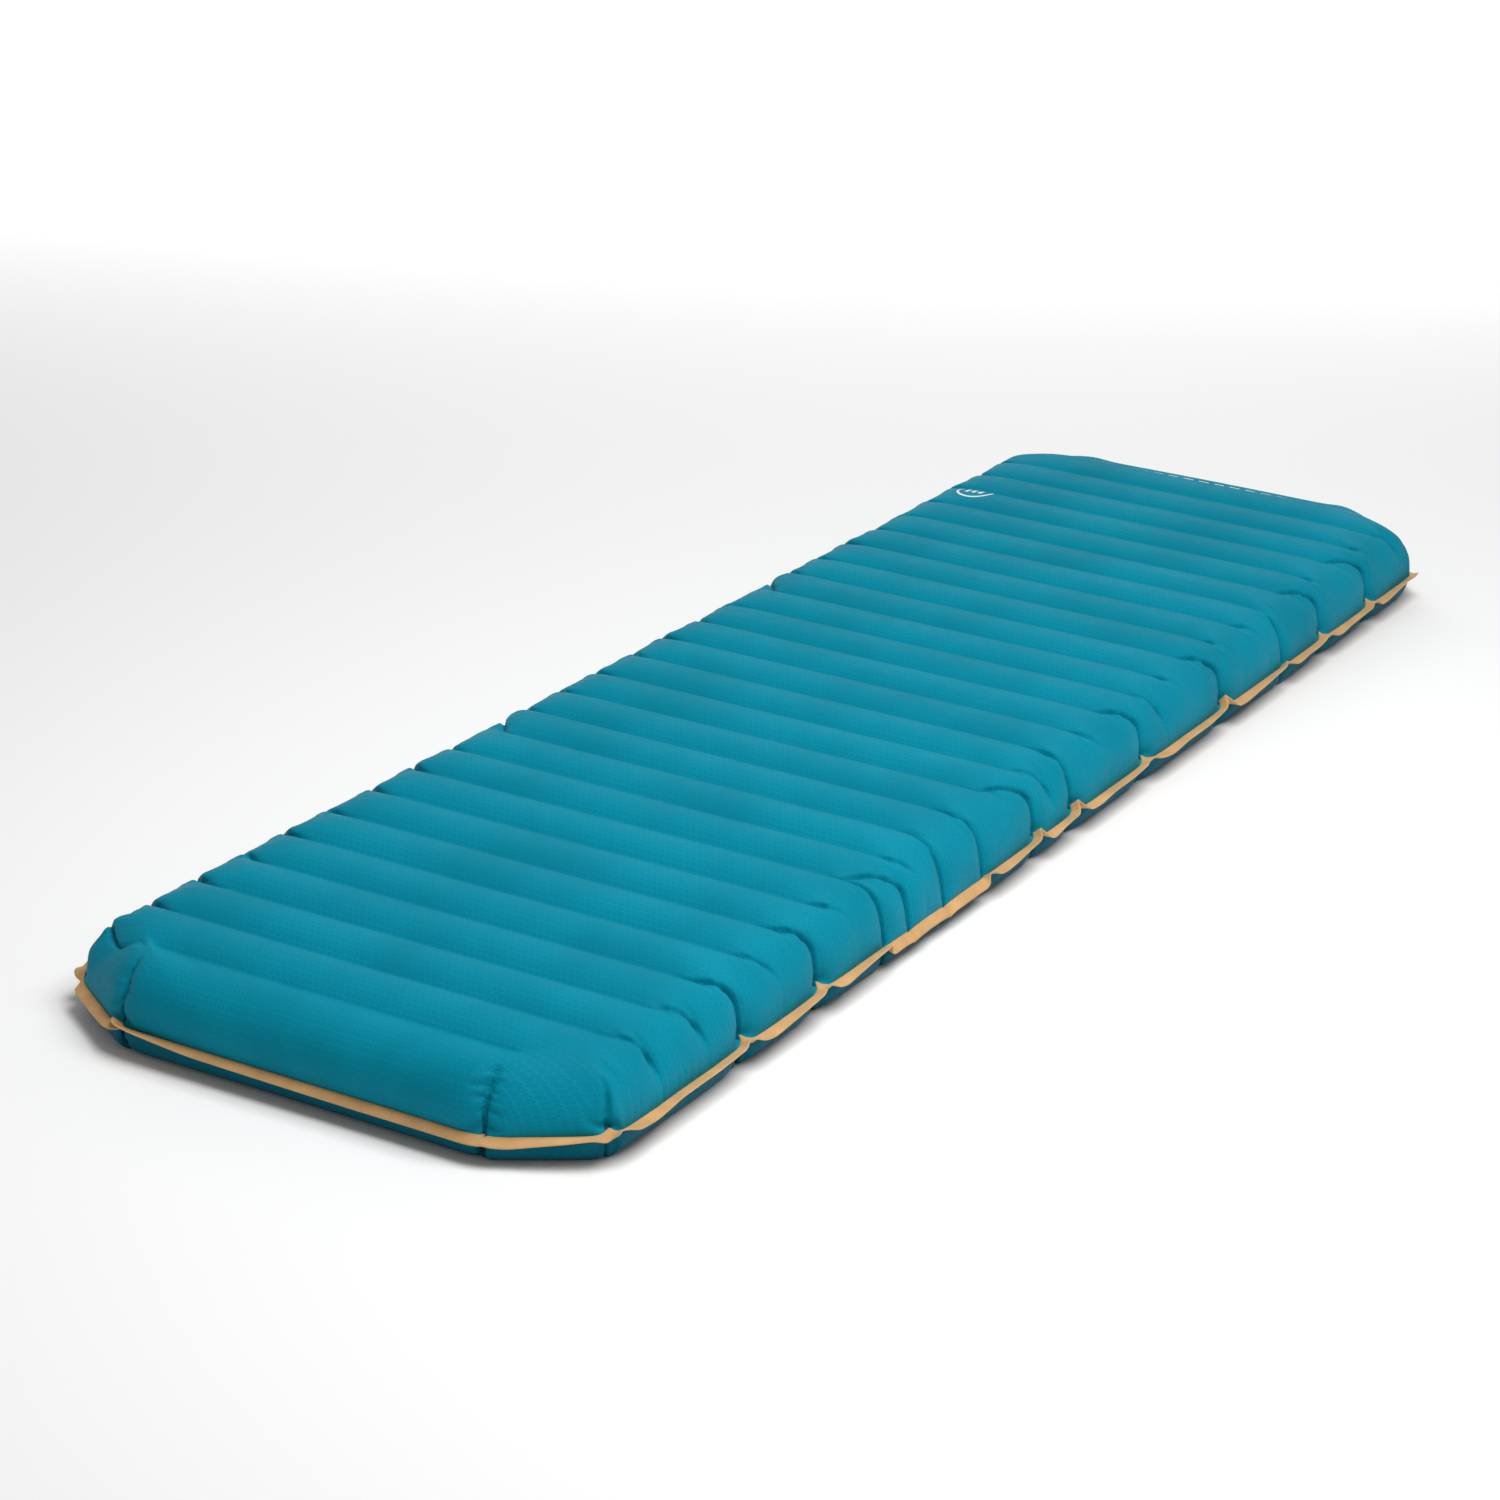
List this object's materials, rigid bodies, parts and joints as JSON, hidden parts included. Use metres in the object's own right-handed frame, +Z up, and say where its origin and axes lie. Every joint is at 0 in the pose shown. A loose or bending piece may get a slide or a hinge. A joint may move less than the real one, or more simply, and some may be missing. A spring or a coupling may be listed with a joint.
{
  "type": "inflatable sleeping pad",
  "caption": "Long flat inflated camping mattress with cut corners, crosswise tubes over internal webs, a thin seam tape all round and a capped corner valve.",
  "frame": {"origin": "on the ground, under the middle of the pad", "axes": "+Y towards the head end, +X towards the right hand of a person lying on their back with the head at +Y, +Z up"},
  "size_m": [0.534, 1.8416, 0.085],
  "materials": {
    "upper_fabric": "coated ripstop fabric with a soft sheen",
    "lower_fabric": "coated matt fabric",
    "seam_tape": "satin coated tape",
    "web_fabric": "thin coated fabric",
    "valve_plastic": "satin moulded",
    "lid_plastic": "satin moulded",
    "hinge_pin": "smooth moulded",
    "seal_rubber": "matt silicone"
  },
  "bodies": {
    "pad": {"top_sheet": "upper_fabric", "bottom_sheet": "lower_fabric", "seam_tape": "seam_tape", "baffle_web_01": "web_fabric", "baffle_web_02": "web_fabric", "baffle_web_03": "web_fabric", "baffle_web_04": "web_fabric", "baffle_web_05": "web_fabric", "baffle_web_06": "web_fabric", "baffle_web_07": "web_fabric", "baffle_web_08": "web_fabric", "baffle_web_09": "web_fabric", "baffle_web_10": "web_fabric", "baffle_web_11": "web_fabric", "baffle_web_12": "web_fabric", "baffle_web_13": "web_fabric", "baffle_web_14": "web_fabric", "baffle_web_15": "web_fabric", "baffle_web_16": "web_fabric", "baffle_web_17": "web_fabric", "baffle_web_18": "web_fabric", "baffle_web_19": "web_fabric", "baffle_web_20": "web_fabric", "baffle_web_21": "web_fabric", "baffle_web_22": "web_fabric", "baffle_web_23": "web_fabric", "baffle_web_24": "web_fabric", "baffle_web_25": "web_fabric", "baffle_web_26": "web_fabric", "baffle_web_27": "web_fabric", "baffle_web_28": "web_fabric", "valve_weld_boat": "valve_plastic", "valve_body": "valve_plastic", "lid_seal_ring": "seal_rubber", "lid_hinge_pin": "hinge_pin"},
    "deflate_lid": {"deflate_lid": "lid_plastic", "flap_retainer": "lid_plastic", "cap_hinge_pin": "hinge_pin"},
    "inflate_cap": {"inflate_cap": "lid_plastic", "cap_gasket": "seal_rubber"},
    "non_return_flap": {"non_return_flap": "seal_rubber"}
  },
  "joints": [
    {"name": "lid_hinge", "type": "hinge", "parent": "pad", "child": "deflate_lid", "pos_m": [-0.2236, 0.89663, 0.0425], "axis": [0.8351, 0.55, 0], "range_deg": [0, 110]},
    {"name": "cap_hinge", "type": "hinge", "parent": "deflate_lid", "child": "inflate_cap", "pos_m": [-0.22575, 0.89989, 0.0352], "axis": [0.8351, 0.55, 0], "range_deg": [0, 120]},
    {"name": "flap_travel", "type": "slide", "parent": "deflate_lid", "child": "non_return_flap", "axis": [0.55, -0.8351, 0], "range_m": [0, 0.0018], "stiffness_N_per_m": 20}
  ]
}
